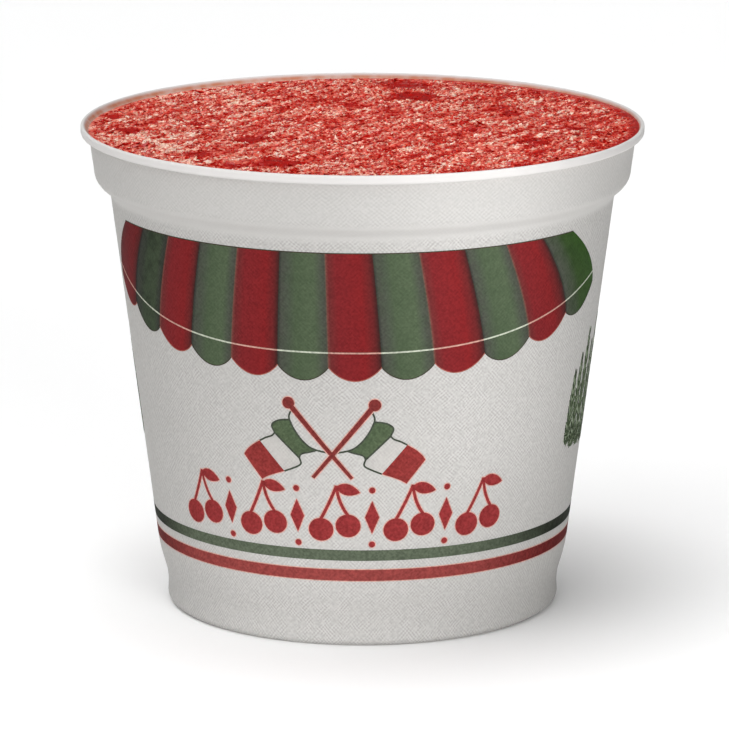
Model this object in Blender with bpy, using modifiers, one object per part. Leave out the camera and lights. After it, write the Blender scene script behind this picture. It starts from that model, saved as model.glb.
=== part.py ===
"""Cherry italian ice in its plastic cup: a thin turned cup with a stepped collar, filled to the rim with scraped ice.

Metres, +Z up. The origin is the centre of the circle that the cup stands on.
"""

import math

import bmesh
import bpy
from mathutils import Vector, geometry, noise

# Cup, outside
RIM_RADIUS = 0.0380
RIM_HEIGHT = 0.0659
RIM_DEPTH = 0.0012
COLLAR_TOP_RADIUS = 0.0369
COLLAR_BOTTOM_RADIUS = 0.0361
COLLAR_BOTTOM = 0.0584
LEDGE_DROP = 0.0010
BODY_TOP_RADIUS = 0.0341
BODY_BOTTOM_RADIUS = 0.0278
BODY_BOTTOM = 0.0076
FOOT_TOP_RADIUS = 0.0266
FOOT_TOP = 0.0036
FOOT_BOTTOM_RADIUS = 0.0267
FOOT_ROUNDING = 0.0006
STANDING_RADIUS = 0.0260

# Cup, thickness and hidden side
WALL = 0.0008
RIM_WIDTH = 0.0007
FOOT_RING_WIDTH = 0.0011
UNDERSIDE_HEIGHT = 0.0010
CUP_STEPS = 72
CURVE_STEPS = 2

# Ice
GAP = 0.0003
ICE_LEVEL = 0.06535
ICE_TILT = 0.00022
TILT_DIRECTION = math.radians(-35)
MOUTH_BOTTOM = 0.0644
MOUTH_TOP = 0.0655
GRAIN_SPACING = 0.0017
GRAIN_HEIGHT = 0.00034
GRAIN_SIZE = 0.0026
SCRAPE_HEIGHT = 0.00022
SCRAPE_LENGTH = 0.0110
SCRAPE_WIDTH = 0.0028
SCRAPE_DIRECTION = math.radians(12)
CALM_EDGE = 0.0035
EDGE_STEPS = 72
GOLDEN_ANGLE = math.pi * (3 - math.sqrt(5))

# Colours, as linear red, green, blue
CUP_COLOUR = (0.66, 0.65, 0.62)
ICE_COLOUR = (0.50, 0.035, 0.028)


def remove_everything():
    for old in list(bpy.data.objects):
        bpy.data.objects.remove(old, do_unlink=True)


def make_material(name, colour, roughness):
    material = bpy.data.materials.new(name)
    material.use_nodes = True
    shader = material.node_tree.nodes["Principled BSDF"]
    shader.inputs["Base Color"].default_value = (*colour, 1)
    shader.inputs["Roughness"].default_value = roughness
    shader.inputs["Metallic"].default_value = 0
    return material


def add_object(name, mesh, material, collection):
    piece = bpy.data.objects.new(name, mesh)
    piece.data.materials.append(material)
    collection.objects.link(piece)
    return piece


def rounded(corners):
    """The outline through (radius, height, rounding) corners, each rounded corner as a curve that meets both sides."""
    points = []
    for number, (radius, height, rounding) in enumerate(corners):
        corner = Vector((radius, height))
        if rounding == 0:
            points.append(corner)
            continue
        before = Vector(corners[number - 1][:2]) - corner
        after = Vector(corners[number + 1][:2]) - corner
        reach = min(rounding, 0.48 * before.length, 0.48 * after.length)
        for step in range(CURVE_STEPS + 1):
            share = step / CURVE_STEPS
            points.append(
                corner
                + before.normalized() * reach * (1 - share) ** 2
                + after.normalized() * reach * share**2
            )
    return points


def cup_corners():
    """The cup's section, from the middle of its floor up the inside, over the rim and down the outside."""
    foot_inside = FOOT_BOTTOM_RADIUS - WALL
    ring_inside = STANDING_RADIUS - FOOT_RING_WIDTH
    floor = UNDERSIDE_HEIGHT + WALL
    ledge_outside = COLLAR_BOTTOM - LEDGE_DROP
    rim_bottom = RIM_HEIGHT - RIM_DEPTH
    return [
        (0, floor, 0),
        (foot_inside - 0.0014, floor, 0),
        (foot_inside - 0.0003, floor + 0.0011, 0),
        (FOOT_TOP_RADIUS - WALL, FOOT_TOP + 0.0006, 0),
        (BODY_BOTTOM_RADIUS - WALL, BODY_BOTTOM + 0.0004, 0),
        (BODY_TOP_RADIUS - WALL, ledge_outside + 0.0004, 0),
        (COLLAR_BOTTOM_RADIUS - WALL, COLLAR_BOTTOM + 0.0006, 0),
        (COLLAR_TOP_RADIUS - WALL, MOUTH_BOTTOM, 0),
        (RIM_RADIUS - RIM_WIDTH, MOUTH_TOP, 0.0002),
        (RIM_RADIUS - 0.55 * RIM_WIDTH, RIM_HEIGHT, 0),
        (RIM_RADIUS, RIM_HEIGHT - 0.0002, 0.0003),
        (RIM_RADIUS, rim_bottom, 0.0003),
        (COLLAR_TOP_RADIUS, rim_bottom, 0.0004),
        (COLLAR_BOTTOM_RADIUS, COLLAR_BOTTOM, 0.0005),
        (BODY_TOP_RADIUS, ledge_outside, 0.0005),
        (BODY_BOTTOM_RADIUS, BODY_BOTTOM, 0.0014),
        (FOOT_TOP_RADIUS, FOOT_TOP, 0.0014),
        (FOOT_BOTTOM_RADIUS, FOOT_ROUNDING, FOOT_ROUNDING),
        (STANDING_RADIUS, 0, 0),
        (ring_inside, 0, 0),
        (ring_inside - 0.0006, UNDERSIDE_HEIGHT, 0),
        (0, UNDERSIDE_HEIGHT, 0),
    ]


def make_cup(collection):
    """The section turned about the upright axis."""
    outline = [(point.x, 0, point.y) for point in rounded(cup_corners())]
    mesh = bpy.data.meshes.new("cup")
    mesh.from_pydata(outline, [(number, number + 1) for number in range(len(outline) - 1)], [])
    cup = add_object("cup", mesh, make_material("white plastic", CUP_COLOUR, 0.45), collection)
    turn = cup.modifiers.new("turn", "SCREW")
    turn.axis = "Z"
    turn.angle = math.tau
    turn.steps = CUP_STEPS
    turn.render_steps = CUP_STEPS
    turn.use_merge_vertices = True
    turn.merge_threshold = 0.00001
    turn.use_smooth_shade = True
    return cup


def ice_plane(x, y):
    """Height of the filled surface without its grain: a plane that tips a little towards the far left."""
    along = x * math.cos(TILT_DIRECTION) + y * math.sin(TILT_DIRECTION)
    return ICE_LEVEL + ICE_TILT * along / RIM_RADIUS


def edge_radius(height):
    """Where the ice meets the sloping mouth of the cup at this height, a gap away from it."""
    low = Vector((COLLAR_TOP_RADIUS - WALL, MOUTH_BOTTOM))
    high = Vector((RIM_RADIUS - RIM_WIDTH, MOUTH_TOP))
    slope = (high - low).normalized()
    inward = Vector((-slope.y, slope.x)) * GAP
    share = (height - low.y - inward.y) / (high.y - low.y)
    return low.x + inward.x + share * (high.x - low.x)


def grain(x, y):
    """Relief of the scraped surface: round grains, and low ridges that the scoop left."""
    grains = noise.noise(Vector((x, y, 0)) / GRAIN_SIZE)
    along = x * math.cos(SCRAPE_DIRECTION) + y * math.sin(SCRAPE_DIRECTION)
    across = y * math.cos(SCRAPE_DIRECTION) - x * math.sin(SCRAPE_DIRECTION)
    scrapes = noise.noise(Vector((along / SCRAPE_LENGTH, across / SCRAPE_WIDTH, 5)))
    return GRAIN_HEIGHT * grains + SCRAPE_HEIGHT * scrapes


def edge_points():
    points = []
    for step in range(EDGE_STEPS):
        angle = math.tau * step / EDGE_STEPS
        radius = edge_radius(ICE_LEVEL)
        radius = edge_radius(ice_plane(radius * math.cos(angle), radius * math.sin(angle)))
        points.append(Vector((radius * math.cos(angle), radius * math.sin(angle))))
    return points


def inner_points():
    """A sunflower spiral, which spreads its points evenly and in no rows."""
    reach = edge_radius(ICE_LEVEL) - 0.8 * GRAIN_SPACING
    count = round(math.pi * reach**2 / GRAIN_SPACING**2)
    points = []
    for number in range(count):
        radius = reach * math.sqrt((number + 0.5) / count)
        angle = number * GOLDEN_ANGLE
        points.append(Vector((radius * math.cos(angle), radius * math.sin(angle))))
    return points


def ice_side():
    """(radius, height) of the ice from just under its edge to the floor, a gap away from the cup's inside."""
    floor = UNDERSIDE_HEIGHT + WALL + GAP
    inside = WALL + GAP
    return [
        (COLLAR_TOP_RADIUS - inside, MOUTH_BOTTOM - 0.0002),
        (COLLAR_BOTTOM_RADIUS - inside, COLLAR_BOTTOM + 0.0016),
        (COLLAR_BOTTOM_RADIUS - inside - 0.0006, COLLAR_BOTTOM + 0.0011),
        (BODY_TOP_RADIUS - inside, COLLAR_BOTTOM - 0.0004),
        (BODY_BOTTOM_RADIUS - inside - 0.0001, BODY_BOTTOM + 0.0012),
        (FOOT_TOP_RADIUS - inside - 0.0001, FOOT_TOP + 0.0012),
        (FOOT_BOTTOM_RADIUS - inside - 0.0006, floor + 0.0013),
        (FOOT_BOTTOM_RADIUS - inside - 0.0018, floor),
    ]


def make_ice(collection):
    """A grainy top sheet whose edge is drawn down the inside of the cup and closed at the floor."""
    edge = edge_points()
    flat = edge + inner_points()
    points, _, triangles, _, _, _ = geometry.delaunay_2d_cdt(flat, [], [], 0, 1e-7)
    form = bmesh.new()
    for point in points:
        calm = min(1, (edge_radius(ICE_LEVEL) - point.length) / CALM_EDGE)
        relief = grain(point.x, point.y) * max(0, calm)
        form.verts.new((point.x, point.y, ice_plane(point.x, point.y) + relief))
    form.verts.ensure_lookup_table()
    for triangle in triangles:
        form.faces.new([form.verts[number] for number in triangle])
    rim_edges = [line for line in form.edges if line.is_boundary]
    for radius, height in ice_side():
        drawn = bmesh.ops.extrude_edge_only(form, edges=rim_edges)["geom"]
        rim_edges = [item for item in drawn if isinstance(item, bmesh.types.BMEdge)]
        for point in [item for item in drawn if isinstance(item, bmesh.types.BMVert)]:
            outward = Vector((point.co.x, point.co.y, 0)).normalized()
            point.co = outward * radius + Vector((0, 0, height))
    bmesh.ops.edgeloop_fill(form, edges=rim_edges)
    bmesh.ops.recalc_face_normals(form, faces=form.faces)
    mesh = bpy.data.meshes.new("ice")
    form.to_mesh(mesh)
    form.free()
    mesh.shade_smooth()
    mesh.set_sharp_from_angle(angle=math.radians(40))
    return add_object("ice", mesh, make_material("cherry ice", ICE_COLOUR, 0.35), collection)


def main():
    remove_everything()
    collection = bpy.data.collections.new("cherry italian ice")
    bpy.context.scene.collection.children.link(collection)
    make_cup(collection)
    make_ice(collection)


main()
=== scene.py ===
"""Looks of the cherry italian ice: a printed cup, brimful of scraped ice, over the part's solids.

Metres, +Z up, in the part's own frame. A place on the cup's side is given by its angle in degrees, 0 at the
front, -Y, growing towards +X, and by its height. Colours are red, green and blue screen values up to 255.
"""

import math

import bmesh
import bpy
import numpy as np
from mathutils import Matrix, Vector, geometry


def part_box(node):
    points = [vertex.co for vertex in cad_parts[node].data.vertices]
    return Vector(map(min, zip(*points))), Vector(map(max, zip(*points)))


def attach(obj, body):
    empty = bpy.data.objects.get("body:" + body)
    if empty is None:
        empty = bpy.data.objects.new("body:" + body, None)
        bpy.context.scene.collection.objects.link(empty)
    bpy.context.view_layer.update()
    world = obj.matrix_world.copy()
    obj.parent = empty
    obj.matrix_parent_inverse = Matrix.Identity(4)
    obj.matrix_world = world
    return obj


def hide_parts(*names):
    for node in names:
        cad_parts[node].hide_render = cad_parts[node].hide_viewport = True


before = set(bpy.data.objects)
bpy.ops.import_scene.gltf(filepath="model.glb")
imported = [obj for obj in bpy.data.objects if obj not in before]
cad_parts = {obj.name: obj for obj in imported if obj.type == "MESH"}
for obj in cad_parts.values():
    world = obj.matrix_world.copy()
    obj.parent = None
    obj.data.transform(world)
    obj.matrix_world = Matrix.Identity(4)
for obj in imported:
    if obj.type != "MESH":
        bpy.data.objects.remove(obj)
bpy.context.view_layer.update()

MM = 0.001

# Cup section, as in the solid but with a softer ledge
RIM_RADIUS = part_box("cup")[1][0]
RIM_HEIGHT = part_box("cup")[1][2]
RIM_BOTTOM = RIM_HEIGHT - 1.2 * MM
COLLAR_TOP_RADIUS = 36.9 * MM
COLLAR_BOTTOM_RADIUS = 36.1 * MM
COLLAR_BOTTOM = 58.6 * MM
LEDGE_DROP = 1.7 * MM
LEDGE_BOTTOM = COLLAR_BOTTOM - LEDGE_DROP
LEDGE_ROUNDING = 0.95 * MM
BODY_TOP_RADIUS = 34.1 * MM
BODY_BOTTOM_RADIUS = 27.8 * MM
BODY_BOTTOM = 7.6 * MM
FOOT_TOP_RADIUS = 26.6 * MM
FOOT_TOP = 3.6 * MM
FOOT_BOTTOM_RADIUS = 26.7 * MM
FOOT_ROUNDING = 0.6 * MM
STANDING_RADIUS = 26.0 * MM
WALL = 0.8 * MM
RIM_WIDTH = 0.7 * MM
FOOT_RING_WIDTH = 1.1 * MM
UNDERSIDE_HEIGHT = 1.0 * MM
CUP_STEPS = 288
CURVE_STEPS = 8

# Cup: stain on its inner lip, fade of its bead, whose pale tone is a painted highlight, and the grain that
# collar and ledge lose; the ledge is also painted lighter, lifting its shade
STAIN_TOP = 0.05 * MM
STAIN_FADE = 0.35 * MM
BEAD_FADE = 0.3 * MM
COLLAR_SMOOTHNESS = 0.5
# Share of the collar's tone laid on the ledge: its grain smoothed, and painted lighter to lift its shade
LEDGE_SMOOTH_SHADE_LIFT = 0.85

# Cup: tones of the grain's hollows and ribs, cloudy patches, collar, bead and stain; the bead's pale tone
# is a painted highlight, and the collar's tone laid on the ledge paints it lighter to lift its shade
HOLLOW_TONE = (191, 189, 186)
RIB_TONE = (220, 218, 215)
CLOUD_TONE = (204, 202, 198)
COLLAR_TONE = (219, 217, 214)
BEAD_HIGHLIGHT_TONE = (240, 237, 235)
STAIN_TONE = (208, 138, 108)

# Surfaces: weave of the plastic, fine bumps of the ice and spread of red, green and blue in it
WEAVE_CELLS_ROUND = 345
WEAVE_RADIUS = 31 * MM
WEAVE_BEND = 6.0
WEAVE_DEPTH = 0.03 * MM
ICE_BUMP = 0.08 * MM
ICE_SCATTER = (0.6 * MM, 0.3 * MM, 0.2 * MM)

# Noise of the materials, in features per metre
FLOOR_NOISE = 6
CLOUD_NOISE = 60
BEND_NOISE = 260
STAIN_NOISE = 500
MOTTLE_NOISE = 700
BROKEN_RIB_NOISE = 900
RIB_SHARE_NOISE = 1000
ICE_NOISE = 2200
SPECK_NOISE = 2400
WEAR_NOISE = 2600

# Ice body
ICE_LEVEL = 65.35 * MM
ICE_TILT = 0.22 * MM
TILT_DIRECTION = math.radians(-35)
MOUTH_BOTTOM = 64.4 * MM
MOUTH_TOP = 65.5 * MM
ICE_OVERLAP = 0.05 * MM
ICE_POINTS = 84000
ICE_EDGE_POINTS = 720
CALM_EDGE = 1.8 * MM
SCRAPE_DIRECTION = math.radians(58)
GOLDEN_ANGLE = math.pi * (3 - math.sqrt(5))

# Ice: colours from where it is clear to where it is most frosted
ICE_COLOURS = ((166, 18, 13), (213, 66, 52), (228, 134, 115), (254, 214, 194))

# Ice: fields of relief and frost, as strength, length and width in millimetres, and seed
SWELLS = (0.16 * MM, 7, 6, 21)
LUMPS = (0.15 * MM, 2.0, 2.0, 22)
GRAINS = (0.12 * MM, 0.9, 0.9, 23)
JAGS = (0.08 * MM, 0.48, 0.48, 24)
BROAD_FROST = (0.16, 7.5, 6.5, 11)
STREAK_FROST = (0.34, 8.0, 1.1, 14)
MIDDLE_FROST = (0.17, 2.4, 2.4, 12)
SMALL_FROST = (0.18, 0.9, 1.1, 13)
PATCH_EDGE = (0.5, 2.4, 2.4, 12)

# Ice: mean frost, its fall to the right, what pale patches and bumps add, roughness and depth
MEAN_FROST = 0.51
FROST_FALL = 0.02
PALE_FROST = 0.20
PALE_CONTRAST = 1.6
BUMP_FROST = 0.8
CLEAR_ROUGHNESS = 0.2
FROST_ROUGHNESS = 1.1
CLEAR_DEPTH = 0.10 * MM

# Ice: patches of smooth red ice and of paler frost, as x, y and radius in millimetres
SMOOTH_PATCHES = (
    (-14.7, -9.5, 2.5), (-11.3, -26.0, 2.9), (-16.5, -28.5, 1.8), (-21.6, -20.0, 1.6),
    (6.0, 32.0, 3.6), (7.1, 22.0, 3.6), (-34.0, 7.5, 1.6), (-31.5, -2.5, 1.9),
    (-22.7, 2.0, 1.4), (20.0, 8.5, 1.7), (28.5, -2.0, 1.7), (22.9, -11.5, 1.9),
)
PALE_PATCHES = (
    (-28.0, -8.5, 4.2), (-25.0, -17.0, 3.2), (-21.5, -26.0, 2.2), (-4.0, -28.5, 2.0),
    (-17.0, 17.5, 3.0),
)
PATCH_REACH = 1.15
PATCH_SHARPNESS = 2.2

# Ice: frost lost in smooth patches and at the edge, and how clear the edge is across the cup
CLEARNESS = 0.95
EDGE_CLEARNESS = 0.4
EDGE_SPREAD = 30 * MM

# Loose flakes: name, number, seed, length, flatness, wanted (least, gain, power) and extra frost
FLAKES = (
    ("pale_grains", 9500, 31, 0.35 * MM, 0.33, (0.0, 0.9, 3), 0.33),
    ("pink_grains", 9000, 32, 0.42 * MM, 0.30, (0.02, 0.8, 1.5), 0.02),
    ("red_grains", 5000, 33, 0.46 * MM, 0.30, (0.15, 0.5, 1), -0.3),
)
FLAKE_MARGIN = 0.95 * MM
FLAKE_DRAWS = 5
FLAKE_WIDTH = 0.5
FLAKE_STRETCH = (0.7, 1.25)

# Loose flakes: spread of size, corners, heading, slope and frost, and each corner's clearness, a painted
# shade that leaves a flake's sides and underside redder than its paler top
SIZE_SPREAD = 0.25
CORNER_SPREAD = 0.16
HEADING_SPREAD = 0.5
SLOPE_SPREAD = 0.24
FROST_SPREAD = 0.16
CORNER_SHADE_CLEARNESS = (0.28, 0.28, 0.28, 0.28, -0.08, 0.6)

# Print: awning
AWNING_STRIPES = 12
AWNING_TOP = 54.85 * MM
AWNING_TURNS = (0, 180)
STITCH_RISE = 1.98 * MM
STITCH_FALL = 0.016 * MM
STITCH_WIDTH = 0.21 * MM
OUTLINE_WIDTH = 0.13 * MM
SCALLOP_DEPTH = 1.92 * MM
SCALLOP_ROUNDNESS = 0.86
ACROSS_STRIPE = 0.5 - 0.5 * np.cos(np.linspace(0, math.pi, 25))

# Print: angles of cusps and seams as middle, step and growth, height of cusps and bow of seams
CUSP_ANGLES = (-7.97, 12.46, 0.075)
SEAM_ANGLES = (-8.2, 10.32, 0.0404)
CUSP_HEIGHT = 39.25 * MM
CUSP_RISE = 0.051 * MM
CUSP_RISE_POWER = 2.77
SEAM_BOW = 1.15
SEAM_END_BOW = 0.45

# Print: awning inks across a stripe, as share of its width, red, green and blue
RED_STOPS = (
    (0.0, 128, 76, 68), (0.05, 116, 50, 50), (0.22, 133, 42, 45),
    (0.70, 139, 39, 41), (0.90, 110, 42, 42), (1.0, 58, 40, 38),
)
GREEN_STOPS = (
    (0.0, 58, 58, 54), (0.06, 82, 84, 76), (0.20, 82, 90, 76),
    (0.36, 84, 99, 75), (0.74, 90, 105, 80), (0.88, 84, 90, 78),
    (0.97, 80, 80, 72), (1.0, 112, 88, 76),
)
END_GREEN_STOPS = (
    (0.0, 58, 58, 54), (0.08, 84, 88, 78), (0.34, 78, 88, 70),
    (0.54, 60, 84, 44), (1.0, 56, 88, 36),
)

# Print: stops, mottling, mottled colour and level of the awning's inks; the lower levels of the two left
# end stripes are painted shade
RED_AWNING_INK = (RED_STOPS, 0.2, (113, 36, 40))
GREEN_AWNING_INK = (GREEN_STOPS, 0.25, (66, 84, 60))
RIGHT_END_INK = (END_GREEN_STOPS, 0.4, (44, 66, 34))
LEFT_END_SHADED_INK = (RED_STOPS, 0.3, (104, 34, 36), 0.86)
LEFT_SECOND_SHADED_INK = (GREEN_STOPS, 0.5, (44, 54, 42), 0.78)

# Print: bands, from bottom to top, the angles over which painted shade darkens them towards the sides, and
# their plain colour, their colour in the darkest painted side shade, and their mottled colour
GREEN_BAND = (12.27 * MM, 13.77 * MM)
RED_BAND = (9.43 * MM, 11.00 * MM)
BAND_SIDE_SHADE_ANGLES = (30, 63, 108, 128)
GREEN_BAND_INK = ((98, 108, 90), (38, 42, 33), (80, 88, 73))
RED_BAND_INK = ((156, 72, 69), (106, 29, 30), (132, 58, 56))
BAND_MOTTLE = 0.3

# Print: plain inks, their mottling and wear, and the pale edges of the red ones
GREEN_OUTLINE_INK = (70, 66, 54)
RED_OUTLINE_INK = (178, 104, 92)
RED_STITCH_INK = (212, 164, 150)
GREEN_STITCH_INK = (206, 213, 194)
FLAG_GREEN_INK = (86, 102, 76)
FLAG_WHITE_INK = (204, 202, 198)
FLAG_RED_INK = (147, 56, 54)
FLAG_LINE_INK = (72, 80, 68)
POLE_INK = (130, 54, 52)
ORNAMENT_INK = (150, 53, 54)
EDGE_INK = (222, 172, 160)
EDGE_WIDTH = 0.13 * MM
EDGE_DROP = 0.5
PLAIN_MOTTLE = 0.25
PLAIN_WEAR = 0.19
WHITE_WEAR = 0.03
AWNING_WEAR = 0.11

# Print: lift of the inks, thickness of a layer and depth of the skins
INK_LIFT = 0.02 * MM
INK_LAYER = 0.012 * MM
INK_SINK = 0.08 * MM

# Print: place of the crossed flags, and the left one's pole, in millimetres from the crossing
FLAGS_ANGLE = -7.57
FLAGS_HEIGHT = 27.27 * MM
BALL = (-5.75, 6.8)
POLE_FOOT = (2.6, -3.45)
POLE_WIDTHS = (0.74, 0.46)
BALL_RADIUS = 0.82
FLAG_LINE_WIDTH = 0.24 * MM

# Print: edges of the left flag's parts, as (x, y) in millimetres from the crossing of the poles
GREEN_TOP = ((-5.65, 4.45), (-6.7, 4.35), (-7.6, 4.05), (-8.15, 3.45), (-7.75, 2.45))
GREEN_BOTTOM = ((-2.05, 0.4), (-3.0, 0.1), (-3.8, -0.1), (-4.25, -0.35), (-4.4, -0.8))
GREEN_HOIST = ((-5.65, 4.45), (-5.05, 3.15), (-4.1, 1.8), (-3.0, 0.8), (-2.05, 0.4))
WHITE_TOP = ((-7.75, 2.45), (-8.2, 2.0), (-9.05, 1.65), (-9.95, 1.15))
WHITE_BOTTOM = ((-4.4, -0.8), (-4.2, -1.55), (-4.8, -2.05), (-6.5, -2.8))
RED_TOP = ((-9.95, 1.15), (-11.1, 0.4), (-12.0, -0.45), (-12.35, -1.05))
RED_BOTTOM = ((-6.5, -2.8), (-7.9, -3.3), (-8.95, -3.75), (-9.75, -4.25))
TOP_CORD = ((-5.65, 4.45), (-5.7, 5.0), (-5.4, 5.75))
BOTTOM_CORD = ((-2.05, 0.4), (-1.1, 0.2), (0.0, 0.0))

# Print: row of cherries and lozenges, its middle, step and height, and in millimetres the forms in it
ROW_ANGLE = -7.3
ROW_STEP = 19.6
ROW_HEIGHT = 18.8 * MM
CHERRY_SIZE = (1.65, 1.6)
CHERRY_OUT = 1.8
CHERRY_LEVELS = (-2.2, -1.6)
STEM_TOP = (0.35, 4.0)
STEM_ELBOW = (0.55, 1.6)
STEM_WIDTH = 0.42
STEM_OVERLAP = 0.1
CHERRY_LEAF = (3.2, 1.6, -14)
LEAF_FOOT = (0.35, 3.84)
LEAF_TIP = 0.02
LOZENGE_SIZE = (1.9, 4.6)
LOZENGE_LEVEL = -0.4
DOT_RADIUS = 0.42
DOT_LEVELS = (3.4, -4.2)

# Print: groves at the sides, with the level of the trees' feet in millimetres from their middle
GROVE_ANGLES = (83, 259)
GROVE_HEIGHT = 29.7 * MM
TREE_FOOT = -6.0

# Print: middle, top and width of each tree, and middle, height and radius of each bush, in millimetres
GROVE_TREES = (
    (-9.0, 4.1, 1.9), (-7.1, 6.0, 2.0), (-4.9, 9.6, 2.3), (-2.4, 7.2, 2.3),
    (0.0, 10.6, 2.6), (2.5, 7.4, 2.4), (4.9, 9.2, 2.3), (7.1, 6.2, 2.1),
    (9.0, 4.4, 1.9),
)
GROVE_BUSHES = (
    (-8.8, -4.3, 1.3), (-6.8, -5.0, 1.6), (-4.2, -5.2, 1.7), (-1.4, -5.4, 1.7),
    (1.4, -5.4, 1.8), (4.3, -5.2, 1.7), (6.8, -5.0, 1.6), (8.8, -4.4, 1.3),
)

# Print: grove inks, as name, colour, leaves a tree side and a bush, leaf width in millimetres, seed
GROVE_INKS = (
    ("shaded", (86, 102, 74), 13, 16, 0.42, 41),
    ("lit", (152, 166, 140), 10, 10, 0.30, 42),
    ("dark", (54, 66, 46), 8, 10, 0.26, 43),
)

# Camera
CAMERA_DISTANCE = 0.7330
CAMERA_ELEVATION = 0.2297
CAMERA_LENS = 265.6
TARGET = (0.00027, 0, 0.03226)

# Light: lamps, the points they face, the world, the light on the cup's side and the ice, the floor
LAMP_DISTANCE = 0.75
LIT_POINT = (0, 0, 0.035)
COLLAR_POINT = (0.0145, -0.0285, 0.059)
BODY_POINT = (0.0170, -0.0265, 0.033)
LOW_POINT = (-0.001, -0.027, 0.002)
WORLD_LEFT = 0.12
POOL_LAMP_RADIUS = 0.01
SIDE_LIGHT = 1.50
TOP_LIGHT = 1.07
FLOOR_REACH = 3.0
FLOOR_GREYS = (0.93, 0.95)


def linear(value):
    """Linear light of one 0 to 255 screen value."""
    share = value / 255
    return share / 12.92 if share <= 0.04045 else ((share + 0.055) / 1.055) ** 2.4


def tone(colour, light=SIDE_LIGHT):
    """Linear colour that shows as these screen values where the surface gets this much light."""
    return tuple(min(0.95, linear(value) / light) for value in colour) + (1,)


class Nodes:
    """The nodes of a material or world, made and joined in short calls."""

    def __init__(self, owner, last="Principled BSDF"):
        owner.use_nodes = True
        self.owner = owner
        self.tree = owner.node_tree
        self.last = self.tree.nodes[last]

    def make(self, kind, settings=None, **inputs):
        made = self.tree.nodes.new(kind)
        for name, value in (settings or {}).items():
            setattr(made, name, value)
        for name, value in inputs.items():
            self.put(made.inputs[name], value)
        return made

    def put(self, socket, value):
        if isinstance(value, bpy.types.NodeSocket):
            self.tree.links.new(value, socket)
        else:
            socket.default_value = value

    def filled(self, made, values):
        """The output of a node whose first inputs get these values."""
        for socket, value in zip(made.inputs, values):
            self.put(socket, value)
        return made.outputs[0]

    def math(self, operation, *values):
        return self.filled(self.make("ShaderNodeMath", {"operation": operation}), values)

    def span(self, *values):
        """A value that lies between the next two, moved to lie between the last two."""
        return self.filled(self.make("ShaderNodeMapRange"), values)

    def mix(self, share, first, second, blend="MIX"):
        settings = {"data_type": "RGBA", "blend_type": blend}
        return self.make("ShaderNodeMix", settings, Factor=share, A=first, B=second).outputs["Result"]

    def ramp(self, value, stops):
        """A colour ramp through (position, colour) stops."""
        made = self.make("ShaderNodeValToRGB", Fac=value)
        elements = made.color_ramp.elements
        while len(elements) < len(stops):
            elements.new(0.5)
        for element, (position, colour) in zip(elements, stops):
            element.position = position
            element.color = colour
        return made.outputs["Color"]

    def split(self, kind="Object"):
        place = self.make("ShaderNodeTexCoord").outputs[kind]
        return self.make("ShaderNodeSeparateXYZ", Vector=place).outputs

    def noise(self, scale, detail=2):
        place = self.make("ShaderNodeTexCoord").outputs["Object"]
        return self.make("ShaderNodeTexNoise", Vector=place, Scale=scale, Detail=detail).outputs["Fac"]

    def attribute(self, name):
        return self.make("ShaderNodeAttribute", {"attribute_name": name}).outputs["Fac"]

    def bump(self, height, distance, strength):
        made = self.make("ShaderNodeBump", Height=height, Distance=distance, Strength=strength)
        self.put(self.last.inputs["Normal"], made.outputs["Normal"])

    def finish(self, colour, roughness, **fixed):
        for name, value in {"Base Color": colour, "Roughness": roughness, **fixed}.items():
            self.put(self.last.inputs[name.replace("_", " ")], value)
        return self.owner


def weave(nodes):
    """The plastic's fine linen grain, from 0 to 1: short ribs that lean now one way, now the other."""
    x, y, z = nodes.split()
    angle = nodes.math("ARCTAN2", x, nodes.math("MULTIPLY", y, -1.0))
    bend = nodes.span(nodes.noise(BEND_NOISE), 0.0, 1.0, -WEAVE_BEND, WEAVE_BEND)
    round_cup = nodes.math("ADD", nodes.math("MULTIPLY", angle, float(WEAVE_CELLS_ROUND)), bend)
    upward = nodes.math("MULTIPLY", z, WEAVE_CELLS_ROUND / WEAVE_RADIUS)
    one_way = nodes.math("SINE", nodes.math("ADD", round_cup, upward))
    other_way = nodes.math("SINE", nodes.math("SUBTRACT", round_cup, upward))
    share = nodes.span(nodes.noise(RIB_SHARE_NOISE), 0.35, 0.65, 0.25, 0.75)
    one_part = nodes.math("MULTIPLY", one_way, share)
    other_part = nodes.math("MULTIPLY", other_way, nodes.math("SUBTRACT", 1.0, share))
    ribs = nodes.math("ADD", one_part, other_part)
    strength = nodes.span(nodes.noise(BROKEN_RIB_NOISE, 3), 0.38, 0.62, 0.1, 1.6)
    broken = nodes.math("MULTIPLY", ribs, strength)
    specks = nodes.span(nodes.noise(SPECK_NOISE), 0.3, 0.7, -0.6, 0.6)
    return nodes.span(nodes.math("ADD", broken, specks), -1.2, 1.2, 0.0, 1.0)


def plastic_material():
    nodes = Nodes(bpy.data.materials.new("satin white plastic"))
    grain = weave(nodes)
    cloud = nodes.noise(CLOUD_NOISE, 3)
    bead, collar = nodes.attribute("bead"), nodes.attribute("collar")
    shade = nodes.ramp(grain, ((0.15, tone(HOLLOW_TONE)), (0.85, tone(RIB_TONE))))
    shade = nodes.mix(nodes.span(cloud, 0.35, 0.65, 0.0, 0.25), shade, tone(CLOUD_TONE))
    # The collar's tone, also laid on the ledge, where it is a painted lift of the ledge's shade
    shade = nodes.mix(collar, shade, tone(COLLAR_TONE))
    # Painted highlight: the bead is paler than the rest of the plastic
    shade = nodes.mix(bead, shade, tone(BEAD_HIGHLIGHT_TONE))
    uneven = nodes.span(nodes.noise(STAIN_NOISE, 3), 0.3, 0.6, 0.6, 1.0)
    shade = nodes.mix(nodes.math("MULTIPLY", nodes.attribute("stain"), uneven), shade, tone(STAIN_TONE))
    rough = nodes.span(nodes.math("MAXIMUM", bead, collar), 0.0, 1.0, 1.0, 0.0)
    nodes.bump(nodes.math("MULTIPLY", grain, rough), WEAVE_DEPTH, 0.45)
    return nodes.finish(shade, nodes.span(cloud, 0.3, 0.7, 0.52, 0.62), Specular_IOR_Level=0.05)


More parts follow.
